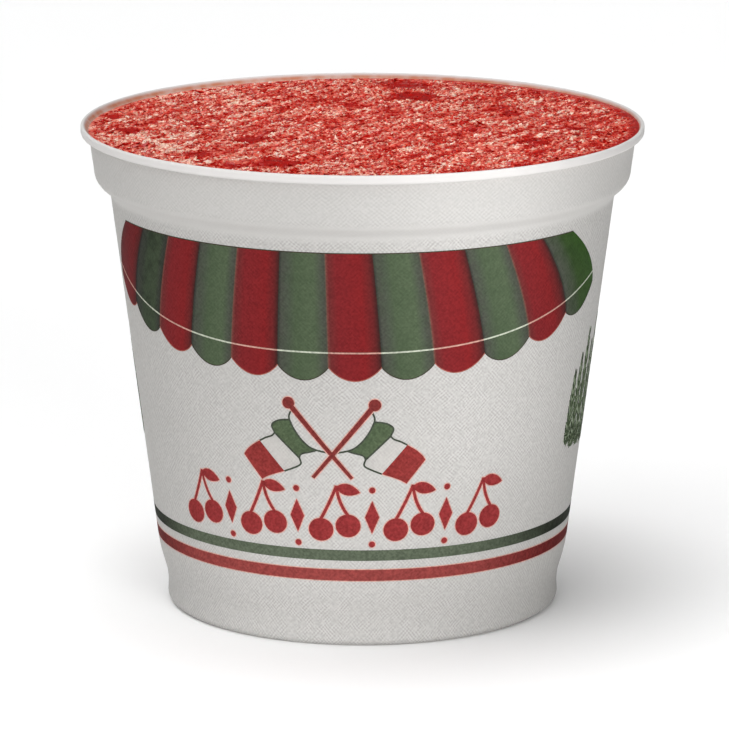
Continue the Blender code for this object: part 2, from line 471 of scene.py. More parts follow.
def ink_material(name, stops, mottle, mottled_colour, wear):
    """Printed ink: its colour across the shape, broken by soft mottling and specks, over the grain."""
    nodes = Nodes(bpy.data.materials.new(name))
    colour = nodes.ramp(nodes.attribute("across"), stops)
    patches = nodes.span(nodes.noise(MOTTLE_NOISE, 4), 0.45, 0.68, 0.0, mottle)
    colour = nodes.mix(patches, colour, mottled_colour)
    grain = weave(nodes)
    ribs = nodes.span(grain, 0.0, 1.0, -0.08, 0.06)
    specks = nodes.span(nodes.noise(WEAR_NOISE), 0.35, 0.65, 1 - wear, 1 + wear)
    worn = nodes.math("ADD", ribs, specks)
    grey = nodes.make("ShaderNodeCombineColor", Red=worn, Green=worn, Blue=worn).outputs[0]
    nodes.bump(grain, WEAVE_DEPTH, 0.5)
    roughness = nodes.span(grain, 0.0, 1.0, 0.7, 0.62)
    return nodes.finish(nodes.mix(1.0, colour, grey, "MULTIPLY"), roughness, Specular_IOR_Level=0.03)


def plain_ink(name, colour, wear=PLAIN_WEAR):
    red, green, blue = colour
    stops = ((0.0, tone(colour)), (1.0, tone((red + 6, green + 4, blue + 4))))
    return ink_material(name, stops, PLAIN_MOTTLE, tone([0.85 * value for value in colour]), wear)


def ice_material(name, roughness):
    """Wet scraped ice: deep red where it is clear, pink to white where air frosts it."""
    nodes = Nodes(bpy.data.materials.new(name))
    red, pink, frosted, pale = (tone(colour, TOP_LIGHT) for colour in ICE_COLOURS)
    fine = nodes.noise(ICE_NOISE, 3)
    frost = nodes.math("ADD", nodes.attribute("frost"), nodes.span(fine, 0.3, 0.7, -0.26, 0.26))
    colour = nodes.ramp(frost, ((0.0, red), (0.14, red), (0.40, pink), (0.70, frosted), (1.0, pale)))
    nodes.bump(fine, ICE_BUMP, 0.5)
    return nodes.finish(
        colour,
        nodes.span(frost, 0.2, 0.9, roughness, roughness + 0.2),
        Coat_Weight=0.12,
        Coat_Roughness=0.15,
        Specular_IOR_Level=0.16,
        Subsurface_Weight=0.45,
        Subsurface_Radius=ICE_SCATTER,
        Subsurface_Scale=1.0,
    )


def floor_material():
    nodes = Nodes(bpy.data.materials.new("pale floor"))
    dark, light = ((grey, grey, grey, 1) for grey in FLOOR_GREYS)
    return nodes.finish(nodes.ramp(nodes.noise(FLOOR_NOISE), ((0.0, dark), (1.0, light))), 0.9)


def new_object(name, data):
    """An object made of this data, in the scene."""
    made = bpy.data.objects.new(name, data)
    bpy.context.scene.collection.objects.link(made)
    return made


def add_piece(name, points, faces, material, sharp=40, welded=False):
    """A piece from points and faces, its faces turned outward, riding on the part's one body."""
    mesh = bpy.data.meshes.new(name)
    mesh.from_pydata(points.tolist(), [], faces if isinstance(faces, list) else faces.tolist())
    form = bmesh.new()
    form.from_mesh(mesh)
    if welded:
        bmesh.ops.remove_doubles(form, verts=form.verts, dist=1e-7)
    bmesh.ops.recalc_face_normals(form, faces=form.faces)
    form.to_mesh(mesh)
    form.free()
    mesh.shade_smooth()
    mesh.set_sharp_from_angle(angle=math.radians(sharp))
    mesh.materials.append(material)
    piece = new_object(name, mesh)
    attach(piece, "root")
    return piece


def joined(*parts):
    """Places from arrays of their parts, one array for each axis."""
    return np.stack(np.broadcast_arrays(*parts), axis=-1)


def spun(x, y, turn):
    """(x, y) turned about the origin by this angle."""
    return x * np.cos(turn) - y * np.sin(turn), x * np.sin(turn) + y * np.cos(turn)


def set_attribute(piece, name, values):
    made = piece.data.attributes.new(name, "FLOAT", "POINT")
    made.data.foreach_set("value", np.asarray(values, np.float32))


def mesh_points(piece):
    found = np.empty(len(piece.data.vertices) * 3)
    piece.data.vertices.foreach_get("co", found)
    return found.reshape(-1, 3)


def rounded(corners):
    """The outline through (radius, height, rounding) corners, the rounded ones as curves."""
    points = []
    for number, (radius, height, rounding) in enumerate(corners):
        corner = Vector((radius, height))
        if rounding == 0:
            points.append(corner)
            continue
        before = Vector(corners[number - 1][:2]) - corner
        after = Vector(corners[number + 1][:2]) - corner
        reach = min(rounding, 0.48 * before.length, 0.48 * after.length)
        before, after = before.normalized() * reach, after.normalized() * reach
        shares = [step / CURVE_STEPS for step in range(CURVE_STEPS + 1)]
        points += [corner + before * (1 - share) ** 2 + after * share**2 for share in shares]
    return points


def cup_corners():
    """The cup's section, from its floor up the inside, over the rim and down the outside."""
    foot_inside = FOOT_BOTTOM_RADIUS - WALL
    ring_inside = STANDING_RADIUS - FOOT_RING_WIDTH
    floor = UNDERSIDE_HEIGHT + WALL
    return [
        (0, floor, 0),
        (foot_inside - 1.4 * MM, floor, 0.6 * MM),
        (foot_inside - 0.3 * MM, floor + 1.1 * MM, 0.6 * MM),
        (FOOT_TOP_RADIUS - WALL, FOOT_TOP + 0.6 * MM, 0.8 * MM),
        (BODY_BOTTOM_RADIUS - WALL, BODY_BOTTOM + 0.4 * MM, 1.4 * MM),
        (BODY_TOP_RADIUS - WALL, LEDGE_BOTTOM + 0.4 * MM, 0.5 * MM),
        (COLLAR_BOTTOM_RADIUS - WALL, COLLAR_BOTTOM + 0.6 * MM, 0.5 * MM),
        (COLLAR_TOP_RADIUS - WALL, MOUTH_BOTTOM, 0.4 * MM),
        (RIM_RADIUS - RIM_WIDTH, MOUTH_TOP, 0.3 * MM),
        (RIM_RADIUS - 0.55 * RIM_WIDTH, RIM_HEIGHT + 0.06 * MM, 0.3 * MM),
        (RIM_RADIUS, RIM_HEIGHT - 0.1 * MM, 0.4 * MM),
        (RIM_RADIUS, RIM_BOTTOM, 0.4 * MM),
        (COLLAR_TOP_RADIUS, RIM_BOTTOM, 0.5 * MM),
        (COLLAR_BOTTOM_RADIUS, COLLAR_BOTTOM, LEDGE_ROUNDING),
        (BODY_TOP_RADIUS, LEDGE_BOTTOM, LEDGE_ROUNDING),
        (BODY_BOTTOM_RADIUS, BODY_BOTTOM, 1.6 * MM),
        (FOOT_TOP_RADIUS, FOOT_TOP, 1.6 * MM),
        (FOOT_BOTTOM_RADIUS, FOOT_ROUNDING, FOOT_ROUNDING),
        (STANDING_RADIUS, 0, 0.1 * MM),
        (ring_inside, 0, 0.1 * MM),
        (ring_inside - 0.6 * MM, UNDERSIDE_HEIGHT, 0.3 * MM),
        (0, UNDERSIDE_HEIGHT, 0),
    ]


def turned(outline, closed=False):
    """(points, faces) of an outline of (radius, height) turned about the upright axis."""
    radius, height = np.array([tuple(point) for point in outline]).T
    turn = (np.arange(CUP_STEPS) * math.tau / CUP_STEPS)[:, None]
    points = joined(*spun(radius, 0, turn), height)
    count = len(radius)
    index = np.arange(CUP_STEPS * count).reshape(CUP_STEPS, count)
    beside = np.roll(index, -1, axis=0)
    following = np.roll(index, -1, axis=1)
    beside_following = np.roll(beside, -1, axis=1)
    last = count if closed else count - 1
    faces = joined(index, following, beside_following, beside)[:, :last]
    return points.reshape(-1, 3), faces.reshape(-1, 4)


def make_cup():
    """The cup's wall, with its stained inner lip, a rim bead with a painted highlight, a smooth collar, and
    a ledge painted lighter to lift its shade.
    """
    points, faces = turned(rounded(cup_corners()))
    cup = add_piece("cup_wall", points, faces, plastic_material(), sharp=60, welded=True)
    x, y, height = mesh_points(cup).T
    inner_lip = (np.hypot(x, y) < RIM_RADIUS - 0.5 * RIM_WIDTH) & (height > RIM_BOTTOM)
    depth = (RIM_HEIGHT - STAIN_TOP - height) / STAIN_FADE
    set_attribute(cup, "stain", np.where(inner_lip, np.clip(depth, 0, 1), 0))
    # The bead's mask: where its paler tone paints a highlight and its grain is smoothed away
    set_attribute(cup, "bead", np.clip((height - RIM_BOTTOM + BEAD_FADE) / BEAD_FADE, 0, 1))
    # The collar's mask, peaking at the ledge as well, where the collar's lighter tone is painted to lift
    # the ledge's shade
    above_ledge = (height - COLLAR_BOTTOM + LEDGE_DROP / 2) / LEDGE_DROP
    ledge = LEDGE_SMOOTH_SHADE_LIFT * np.clip(2 - 2 * np.abs(above_ledge), 0, 1)
    collar = COLLAR_SMOOTHNESS * np.clip(above_ledge, 0, 1)
    set_attribute(cup, "collar", np.maximum(collar, ledge))
    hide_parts("cup")


def lattice_noise(x, y, seed):
    """Smooth noise from about -1 to 1, from slopes drawn on a square lattice."""
    size = 256
    slopes = np.random.default_rng(seed).uniform(0, math.tau, (size, size))
    left, low = np.floor(x).astype(int), np.floor(y).astype(int)
    across, up = x - left, y - low

    def corner(right, above):
        slope = slopes[(left + right) % size, (low + above) % size]
        return np.cos(slope) * (across - right) + np.sin(slope) * (up - above)

    ease_x = across**3 * (across * (across * 6 - 15) + 10)
    ease_y = up**3 * (up * (up * 6 - 15) + 10)
    below = corner(0, 0) * (1 - ease_x) + corner(1, 0) * ease_x
    above = corner(0, 1) * (1 - ease_x) + corner(1, 1) * ease_x
    return 1.5 * (below * (1 - ease_y) + above * ease_y)


def field(x, y, kind):
    """Smooth noise of this strength, length and width in millimetres, and seed."""
    strength, length, width, seed = kind
    return strength * lattice_noise(x / (length * MM), y / (width * MM), seed)


def from_edge(x, y):
    """0 at the ice's edge, growing to 1 where the calm border inside it ends."""
    return np.clip((edge_radius(ICE_LEVEL) - np.hypot(x, y)) / CALM_EDGE, 0, 1)


def patch_share(x, y, patches):
    """How far each place lies inside the patches, from 0 outside to 1, with a ragged edge."""
    ragged = field(x, y, PATCH_EDGE)
    share = np.zeros_like(x)
    for middle_x, middle_y, radius in patches:
        away = np.hypot(x - middle_x * MM, y - middle_y * MM) / (radius * MM)
        share = np.maximum(share, np.clip(PATCH_SHARPNESS * (PATCH_REACH - away + ragged), 0, 1))
    return share


def frostiness(x, y):
    """How frosted the ice is, from 0, clear and red, to 1, pale."""
    pale = patch_share(x, y, PALE_PATCHES)
    share = MEAN_FROST - FROST_FALL * x / RIM_RADIUS + field(x, y, BROAD_FROST) + PALE_FROST * pale
    share = share + field(*spun(x, y, -SCRAPE_DIRECTION), STREAK_FROST)
    share = share + (1 + PALE_CONTRAST * pale) * (field(x, y, MIDDLE_FROST) + field(x, y, SMALL_FROST))
    clear_edge = (1 - from_edge(x, y)) * np.clip(EDGE_CLEARNESS + x / EDGE_SPREAD, 0, 1)
    clear = np.maximum(patch_share(x, y, SMOOTH_PATCHES), clear_edge)
    return np.clip(share * (1 - CLEARNESS * clear), 0, 1)


def ice_plane(x, y):
    """Height of the filled surface without its grain."""
    return ICE_LEVEL + ICE_TILT * spun(x, y, -TILT_DIRECTION)[0] / RIM_RADIUS


def edge_radius(height):
    """Where the ice reaches just into the sloping mouth of the cup at this height."""
    share = (height - MOUTH_BOTTOM) / (MOUTH_TOP - MOUTH_BOTTOM)
    low = COLLAR_TOP_RADIUS - WALL
    high = RIM_RADIUS - RIM_WIDTH
    return low + share * (high - low) + ICE_OVERLAP


def ice_height(x, y):
    """Height of the scraped surface: swells, lumps and jagged grains, calmer where it is clear."""
    frost = frostiness(x, y)
    grains = (field(x, y, GRAINS) + field(x, y, JAGS)) * (CLEAR_ROUGHNESS + FROST_ROUGHNESS * frost)
    rough = field(x, y, LUMPS) + grains - CLEAR_DEPTH * (1 - frost)
    return ice_plane(x, y) + from_edge(x, y) * (field(x, y, SWELLS) + rough)


def ice_sheet_points():
    """The surface's points: a ring at the edge and an even sunflower spiral inside it."""
    turn = np.arange(ICE_EDGE_POINTS) * math.tau / ICE_EDGE_POINTS
    rim = edge_radius(ice_plane(*spun(edge_radius(ICE_LEVEL), 0, turn)))
    ring = joined(*spun(rim, 0, turn))
    number = np.arange(ICE_POINTS)
    reach = edge_radius(ICE_LEVEL - ICE_TILT) - 0.2 * MM
    radius = reach * np.sqrt((number + 0.5) / ICE_POINTS)
    return np.concatenate([ring, joined(*spun(radius, 0, number * GOLDEN_ANGLE))])


def ice_side():
    """(radius, height) down the side of the ice, just inside the cup's wall."""
    inside = WALL - ICE_OVERLAP
    floor = UNDERSIDE_HEIGHT + inside
    return [
        (COLLAR_TOP_RADIUS - inside, MOUTH_BOTTOM - 0.2 * MM),
        (COLLAR_BOTTOM_RADIUS - inside, COLLAR_BOTTOM + 0.8 * MM),
        (BODY_TOP_RADIUS - inside, COLLAR_BOTTOM - 0.6 * MM),
        (BODY_BOTTOM_RADIUS - inside, BODY_BOTTOM + 0.6 * MM),
        (FOOT_TOP_RADIUS - inside, FOOT_TOP + 1.2 * MM),
        (FOOT_BOTTOM_RADIUS - inside - 0.5 * MM, floor + 1.3 * MM),
        (FOOT_BOTTOM_RADIUS - inside - 1.5 * MM, floor),
    ]


def make_ice():
    """The body of the ice: a fine scraped sheet, drawn down inside the cup and closed at its floor."""
    flat = [Vector(place) for place in ice_sheet_points().tolist()]
    points, _, triangles, *_ = geometry.delaunay_2d_cdt(flat, [], [], 0, 1e-8)
    places = np.array([tuple(point) for point in points])
    x, y = places.T
    top = joined(x, y, ice_height(x, y))
    frost = frostiness(x, y)
    count = len(top)
    ring = np.argsort(-np.hypot(x, y))[:ICE_EDGE_POINTS]
    ring = ring[np.argsort(np.arctan2(y[ring], x[ring]))]
    outward = places[ring] / np.hypot(x[ring], y[ring])[:, None]
    levels = [joined(*outward.T * radius, height) for radius, height in ice_side()]
    faces = [list(triangle) for triangle in triangles]
    above = ring
    for number in range(len(levels)):
        below = count + number * ICE_EDGE_POINTS + np.arange(ICE_EDGE_POINTS)
        faces += joined(above, below, np.roll(below, -1), np.roll(above, -1)).tolist()
        above = below
    faces.append(above.tolist())
    material = ice_material("scraped cherry ice", 0.25)
    ice = add_piece("ice_body", np.concatenate([top, *levels]), faces, material, sharp=60)
    values = np.zeros(len(ice.data.vertices))
    bumps = (top[:, 2] - ice_plane(x, y)) / MM
    values[:count] = np.clip(frost + BUMP_FROST * bumps, 0, 1)
    set_attribute(ice, "frost", values)
    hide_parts("ice")


def make_grains(name, count, seed, length, flatness, wanted, frostier, material):
    """Loose flakes half sunk in the surface, as uneven eight-sided chips."""
    draw = np.random.default_rng(seed)
    least, gain, power = wanted
    tries = FLAKE_DRAWS * count
    radius = (edge_radius(ICE_LEVEL) - FLAKE_MARGIN) * np.sqrt(draw.random(tries))
    angle = draw.random(tries) * math.tau
    x, y = spun(radius, 0, angle)
    kept = np.flatnonzero(draw.random(tries) < least + gain * frostiness(x, y) ** power)[:count]
    x, y = x[kept], y[kept]
    count = len(kept)
    corners = np.array([(1, 0, 0), (-1, 0, 0), (0, 1, 0), (0, -1, 0), (0, 0, 1), (0, 0, -1)], float)
    scale = length * draw.lognormal(0, SIZE_SPREAD, (count, 1, 1)) * np.array([1, FLAKE_WIDTH, flatness])
    shape = corners * draw.uniform(*FLAKE_STRETCH, (count, 6, 1))
    shape = shape + draw.normal(0, CORNER_SPREAD, (count, 6, 3))
    along, across, up = np.moveaxis(shape * scale, -1, 0)
    heading = draw.normal(SCRAPE_DIRECTION, HEADING_SPREAD, (count, 1))
    slope_along, slope_across = draw.normal(0, SLOPE_SPREAD, (2, count, 1))
    up = up + slope_along * along + slope_across * across + ice_height(x, y)[:, None]
    spun_x, spun_y = spun(along, across, heading)
    points = joined(spun_x + x[:, None], spun_y + y[:, None], up).reshape(-1, 3)
    sides = [(0, 2, 4), (2, 1, 4), (1, 3, 4), (3, 0, 4), (2, 0, 5), (1, 2, 5), (3, 1, 5), (0, 3, 5)]
    faces = (np.arange(count)[:, None, None] * 6 + np.array(sides)).reshape(-1, 3)
    grains = add_piece(name, points, faces, material, sharp=25)
    frost = frostiness(x, y) + draw.normal(frostier, FROST_SPREAD, count)
    # Painted shade: each flake's sides and underside are clearer and redder than its paler top
    set_attribute(grains, "frost", np.clip(frost[:, None] - CORNER_SHADE_CLEARNESS, 0, 1).ravel())


def make_all_grains():
    crystal = ice_material("loose ice crystals", 0.2)
    for flakes in FLAKES:
        make_grains(*flakes, crystal)


def body_radius(height):
    """Radius of the body's cone at this height."""
    share = (height - BODY_BOTTOM) / (LEDGE_BOTTOM - BODY_BOTTOM)
    return BODY_BOTTOM_RADIUS + share * (BODY_TOP_RADIUS - BODY_BOTTOM_RADIUS)


def on_cup(places, lift):
    """World places of (angle, height) places on the body, this far off its side."""
    angle, height = np.radians(places[..., 0]), places[..., 1]
    radius = body_radius(height) + lift
    return joined(*spun(0, -radius, angle), height)


def around(places, angle, height):
    """(angle, height) places of flat (x, y) places, measured from one point of the side."""
    level = height + places[..., 1]
    return joined(angle + np.degrees(places[..., 0] / body_radius(level)), level)


def skin(grid, lift):
    """(points, faces) of a closed skin over a grid of (angle, height) places."""
    rows, columns = grid.shape[:2]
    count = rows * columns
    index = np.arange(count).reshape(rows, columns)
    top = joined(index[:-1, :-1], index[:-1, 1:], index[1:, 1:], index[1:, :-1]).reshape(-1, 4)
    border = np.concatenate([index[0, :-1], index[:-1, -1], index[-1, :0:-1], index[:0:-1, 0]])
    after = np.roll(border, -1)
    side = joined(border, border + count, after + count, after)
    points = np.concatenate([on_cup(grid, lift).reshape(-1, 3), on_cup(grid, -INK_SINK).reshape(-1, 3)])
    return points, np.concatenate([top, top[:, ::-1] + count, side])


def make_print(name, grids, material, layer=0, shares=None):
    """One ink: all its skins, with each column's share of the way across kept for its colour."""
    points, faces, across, start = [], [], [], 0
    for grid in grids:
        skin_points, skin_faces = skin(grid, INK_LIFT + layer * INK_LAYER)
        points.append(skin_points)
        faces.append(skin_faces + start)
        columns = np.linspace(0, 1, grid.shape[1]) if shares is None else shares
        across.append(np.tile(columns, 2 * grid.shape[0]))
        start += len(skin_points)
    piece = add_piece(name, np.concatenate(points), np.concatenate(faces), material)
    set_attribute(piece, "across", np.concatenate(across))


def make_edges(name, grids, ink, layer=0):
    """The pale edges round the red shapes of a layer, just under it."""
    make_print(name, grids, plain_ink(ink, EDGE_INK), layer - EDGE_DROP)


def ribbon(line, width):
    """A grid along a line of flat (x, y) places, this wide, or as wide as each width in turn."""
    line = np.asarray(line, float)
    heading = np.gradient(line, axis=0)
    heading /= np.linalg.norm(heading, axis=1)[:, None]
    side = joined(-heading[:, 1], heading[:, 0]) * np.broadcast_to(width, len(line))[:, None] / 2
    return np.stack([line + side, line, line - side], axis=1)


def edge_line(grid):
    """A grid along the border of a flat grid."""
    border = np.concatenate([grid[0, :-1], grid[:-1, -1], grid[-1, :0:-1], grid[:1:-1, 0]])
    return ribbon(np.concatenate([border, border[:1]]), 2 * EDGE_WIDTH)


def square(steps):
    """A square grid from -1 to 1 each way."""
    return np.meshgrid(np.linspace(-1, 1, steps + 1), np.linspace(-1, 1, steps + 1))


def disc(steps=8):
    """A square grid pressed into a disc of radius 1."""
    across, up = square(steps)
    return joined(across * np.sqrt(1 - up**2 / 2), up * np.sqrt(1 - across**2 / 2))


def leaf(length, width, degrees):
    """A pointed leaf that grows from the origin at this turn from the x axis."""
    along = np.linspace(0, 1, 11)[:, None]
    across = np.linspace(-1, 1, 7)
    half = width / 2 * (np.sin(math.pi * along**0.85) ** 0.8 * (1 - LEAF_TIP) + LEAF_TIP)
    return joined(*spun(length * along, half * across, math.radians(degrees)))


def spaced(number, angles):
    """Angle of this numbered place, by the middle one's angle, their step and its growth."""
    middle, step, growth = angles
    return middle + step * number + growth * number**2


def cusp(number):
    """(angle, height) of the point between two scallops, counted from the awning's middle."""
    return spaced(number, CUSP_ANGLES), CUSP_HEIGHT + CUSP_RISE * np.abs(number) ** CUSP_RISE_POWER


def seam(number, share):
    """(angle, height) at this share of the way down the seam between two stripes."""
    top = spaced(number, SEAM_ANGLES)
    bottom, height = cusp(number)
    bow = SEAM_BOW + SEAM_END_BOW * (np.abs(number) / (AWNING_STRIPES / 2)) ** 4
    return top + (bottom - top) * (1 - (1 - share) ** bow), AWNING_TOP + (height - AWNING_TOP) * share


def stripe_place(number, across, share):
    """(angle, height) this far across a stripe and this share of the way down to its round scallop."""
    left_angle, left_height = seam(number, share)
    right_angle, right_height = seam(number + 1, share)
    dip = SCALLOP_DEPTH * np.clip(1 - (2 * across - 1) ** 2, 0, 1) ** SCALLOP_ROUNDNESS * share
    angle = left_angle + (right_angle - left_angle) * across
    return joined(angle, left_height + (right_height - left_height) * across - dip)


def stripe_grid(number, turn):
    across, share = np.meshgrid(ACROSS_STRIPE, np.linspace(0, 1, 21))
    return stripe_place(number, across, share) + (turn, 0)


def stripe_outline(number, turn):
    """The line round a scallop's foot, as a thin grid."""
    line = stripe_place(number, ACROSS_STRIPE, np.ones(len(ACROSS_STRIPE)))
    flat = joined(np.radians(line[:, 0]) * body_radius(line[:, 1]), line[:, 1])
    return around(ribbon(flat, OUTLINE_WIDTH), 0, 0) + (turn, 0)


def level_line(place, width, turn):
    """A thin grid along (angle, height) places, this wide upward."""
    angle, height = place
    return joined(angle[:, None], joined(height + width / 2, height - width / 2)) + (turn, 0)


def top_outline(turn):
    numbers = np.linspace(-AWNING_STRIPES / 2, AWNING_STRIPES / 2, 12 * AWNING_STRIPES + 1)
    return level_line(seam(numbers, np.zeros(len(numbers))), OUTLINE_WIDTH, turn)


def stitch_grid(number, turn):
    """The sewn line across one stripe, a little above its scallop."""
    numbers = np.linspace(number, number + 1, 9)
    down = AWNING_TOP - cusp(numbers)[1]
    share = (down - STITCH_RISE + STITCH_FALL * numbers**2) / down
    return level_line(seam(numbers, share), STITCH_WIDTH, turn)


def awning_ink(name, stops, mottle, mottled, level=1.0):
    """An awning ink from (position, red, green, blue) stops, all dimmed to this level; a level below 1 is
    painted shade.
    """
    toned = tuple((position, tone([level * value for value in colour])) for position, *colour in stops)
    return ink_material(name, toned, mottle, tone([level * value for value in mottled]), AWNING_WEAR)


def make_awning():
    first = -AWNING_STRIPES // 2
    last = first + AWNING_STRIPES - 1
    for name, numbers, material in (
        ("awning_red", range(first + 2, last, 2), awning_ink("red awning ink", *RED_AWNING_INK)),
        ("awning_green", range(first + 3, last, 2), awning_ink("green awning ink", *GREEN_AWNING_INK)),
        ("awning_right_end", [last], awning_ink("right end stripe ink", *RIGHT_END_INK)),
        # The two stripes at the awning's left end are dimmed copies of the red and green inks: painted
        # shade
        ("awning_left_end_shaded", [first], awning_ink("left end red ink in painted shade", *LEFT_END_SHADED_INK)),
        ("awning_left_second_shaded", [first + 1], awning_ink("left end green ink in painted shade", *LEFT_SECOND_SHADED_INK)),
    ):
        stripes = [stripe_grid(number, turn) for turn in AWNING_TURNS for number in numbers]
        make_print(name, stripes, material, shares=ACROSS_STRIPE)
    reds, greens = (
        [(number, turn) for turn in AWNING_TURNS for number in range(start, last + 1, 2)]
        for start in (first, first + 1)
    )
    for name, grids, ink, colour, layer in (
        ("outline_on_green", map(stripe_outline, *zip(*greens)), "dark outline ink", GREEN_OUTLINE_INK, 1),
        ("outline_on_red", map(stripe_outline, *zip(*reds)), "salmon outline ink", RED_OUTLINE_INK, 1),
        ("stitch_on_red", map(stitch_grid, *zip(*reds)), "salmon ink", RED_STITCH_INK, 2),
        ("stitch_on_green", map(stitch_grid, *zip(*greens)), "cream ink", GREEN_STITCH_INK, 2),
    ):
        tops = map(top_outline, AWNING_TURNS) if name == "outline_on_green" else ()
        make_print(name, [*grids, *tops], plain_ink(ink, colour), layer)


def make_band(name, levels, material, layer=0):
    """A printed band all round the body, with painted shade that darkens it towards the cup's left and
    right sides.
    """
    low, high = levels
    lift = INK_LIFT + layer * INK_LAYER
    corners = ((low, lift), (high, lift), (high, -INK_SINK), (low, -INK_SINK))
    outline = [(body_radius(height) + out, height) for height, out in corners]
    points, faces = turned(outline, closed=True)
    band = add_piece(name, points, faces, material)
    x, y, _ = mesh_points(band).T
    angle = np.degrees(np.arctan2(x, -y)) % 180
    # Here the share across the ink's ramp is painted shade, darkest towards the cup's left and right sides
    set_attribute(band, "across", np.interp(angle, BAND_SIDE_SHADE_ANGLES, (0, 1, 1, 0)))


def band_ink(name, colours):
    """A band's ink, from its plain colour, its colour in the darkest painted side shade, and its mottled
    colour.
    """
    thin, side_shade, mottled = map(tone, colours)
    return ink_material(name, ((0.0, thin), (1.0, side_shade)), BAND_MOTTLE, mottled, PLAIN_WEAR)


def make_bands():
    make_band("green_band", GREEN_BAND, band_ink("green band ink", GREEN_BAND_INK))
    make_band("red_band", RED_BAND, band_ink("red band ink", RED_BAND_INK))
    edge = (RED_BAND[0] - EDGE_WIDTH, RED_BAND[1] + EDGE_WIDTH)
    make_band("red_band_edge", edge, plain_ink("pale band edge ink", EDGE_INK), -EDGE_DROP)


def smooth_line(places, count=17):
    """A smooth line of this many points through the given (x, y) places."""
    places = np.array(places, float)
    padded = np.vstack([2 * places[0] - places[1], places, 2 * places[-1] - places[-2]])
    step = np.linspace(0, len(places) - 1, count)
    number = np.minimum(step.astype(int), len(places) - 2)
    share = (step - number)[:, None]
    before, start, end, after = (padded[number + offset] for offset in range(4))
    bend = 2 * before - 5 * start + 4 * end - after
    twist = 3 * start - 3 * end + after - before
    return start + 0.5 * ((end - before) * share + bend * share**2 + twist * share**3)


def flag_part(top, bottom, hoist=None):
    """A grid between a part's top and bottom edges, bowed at the pole along a hoist line."""
    down = np.linspace(0, 1, 13)[:, None]
    top, bottom = smooth_line(top), smooth_line(bottom)
    grid = top[None] * (1 - down[..., None]) + bottom[None] * down[..., None]
    if hoist:
        bow = smooth_line(hoist, 13) - grid[:, 0]
        fade = (1 - np.linspace(0, 1, 17)) ** 2
        grid = grid + bow[:, None] * fade[None, :, None]
    return grid * MM


def flag_lines():
    """Thin lines round the green and white parts, and the flag's cords."""
    fold = (GREEN_TOP[-1], GREEN_BOTTOM[-1])
    lines = [GREEN_TOP, GREEN_BOTTOM, GREEN_HOIST, WHITE_TOP, WHITE_BOTTOM, TOP_CORD, BOTTOM_CORD]
    grids = [ribbon(smooth_line(line) * MM, FLAG_LINE_WIDTH) for line in lines]
    return grids + [ribbon(np.linspace(*np.array(fold), 8) * MM, FLAG_LINE_WIDTH)]


def pole_grids():
    """The left flag's pole and the ball on its top."""
    ball, foot = np.array(BALL), np.array(POLE_FOOT)
    run = np.linspace(0, 1, 21)
    thick, thin = POLE_WIDTHS
    pole = ribbon((ball + (foot - ball) * run[:, None]) * MM, (thick + (thin - thick) * run) * MM)
    return [pole, (disc() * BALL_RADIUS + ball) * MM]


def crossed(grids):
    """The grids on the left and their mirror images, round the crossing of the poles."""
    return [
        around(grid * (side, 1), FLAGS_ANGLE + turn, FLAGS_HEIGHT)
        for turn in AWNING_TURNS
        for side in (1, -1)
        for grid in grids
    ]


def make_flags():
    green = [flag_part(GREEN_TOP, GREEN_BOTTOM, GREEN_HOIST)]
    white = [flag_part(WHITE_TOP, WHITE_BOTTOM)]
    red = [flag_part(RED_TOP, RED_BOTTOM)]
    poles = pole_grids()
    make_print("flags_green", crossed(green), plain_ink("green flag ink", FLAG_GREEN_INK))
    make_print("flags_white", crossed(white), plain_ink("white flag ink", FLAG_WHITE_INK, WHITE_WEAR))
    make_print("flags_red", crossed(red), plain_ink("red flag ink", FLAG_RED_INK))
    make_print("flag_outlines", crossed(flag_lines()), plain_ink("thin flag line ink", FLAG_LINE_INK), 1)
    make_print("flag_poles", crossed(poles), plain_ink("pole ink", POLE_INK), 2)
    make_edges("pole_edges", crossed([edge_line(pole) for pole in poles]), "pole edge ink", 2)
    make_edges("flag_edges", crossed([edge_line(part) for part in red]), "flag edge ink")


def cherry_pair():
    """Two cherries on bent stems with a leaf, about 8 mm tall."""
    run = np.linspace(0, 1, 12)[:, None]
    grids = []
    for side, level in zip((-1, 1), CHERRY_LEVELS):
        middle = np.array((CHERRY_OUT * side, level))
        elbow = np.array(STEM_ELBOW) * (side, 1)
        end = middle + (0, CHERRY_SIZE[1] - STEM_OVERLAP)
        stem = (1 - run) ** 2 * STEM_TOP + 2 * run * (1 - run) * elbow + run**2 * end
        grids += [disc() * CHERRY_SIZE + middle, ribbon(stem, STEM_WIDTH)]
    return [grid * MM for grid in [*grids, leaf(*CHERRY_LEAF) + LEAF_FOOT]]


def lozenge(size):
    """A square grid turned on its corner and drawn out to this width and height."""
    across, up = square(6)
    return joined(across + up, across - up) * size / 4


def make_ornaments():
    """A row of cherries and lozenges between the flags and the bands."""
    dots = [disc(4) * DOT_RADIUS + (0, level) for level in DOT_LEVELS]
    between = [form * MM for form in (lozenge(LOZENGE_SIZE) + (0, LOZENGE_LEVEL), *dots)]
    grids, edges = [], []
    for turn in AWNING_TURNS:
        for forms, places in ((cherry_pair(), np.arange(-2, 3)), (between, np.arange(-1.5, 2))):
            for middle in ROW_ANGLE + turn + places * ROW_STEP:
                grids += [around(form, middle, ROW_HEIGHT) for form in forms]
                edges += [around(edge_line(form), middle, ROW_HEIGHT) for form in forms]
    make_print("ornament_row", grids, plain_ink("red ornament ink", ORNAMENT_INK))
    make_edges("ornament_edges", edges, "pale ornament edge ink")


def stroke(foot, tip, width):
    """A thin pointed leaf from its foot to its tip, in millimetres."""
    breadth = 0.1 + np.sin(math.pi * np.linspace(0, 1, 7)) ** 0.8
    return ribbon(np.linspace(foot, tip, 7) * MM, width * MM * breadth)


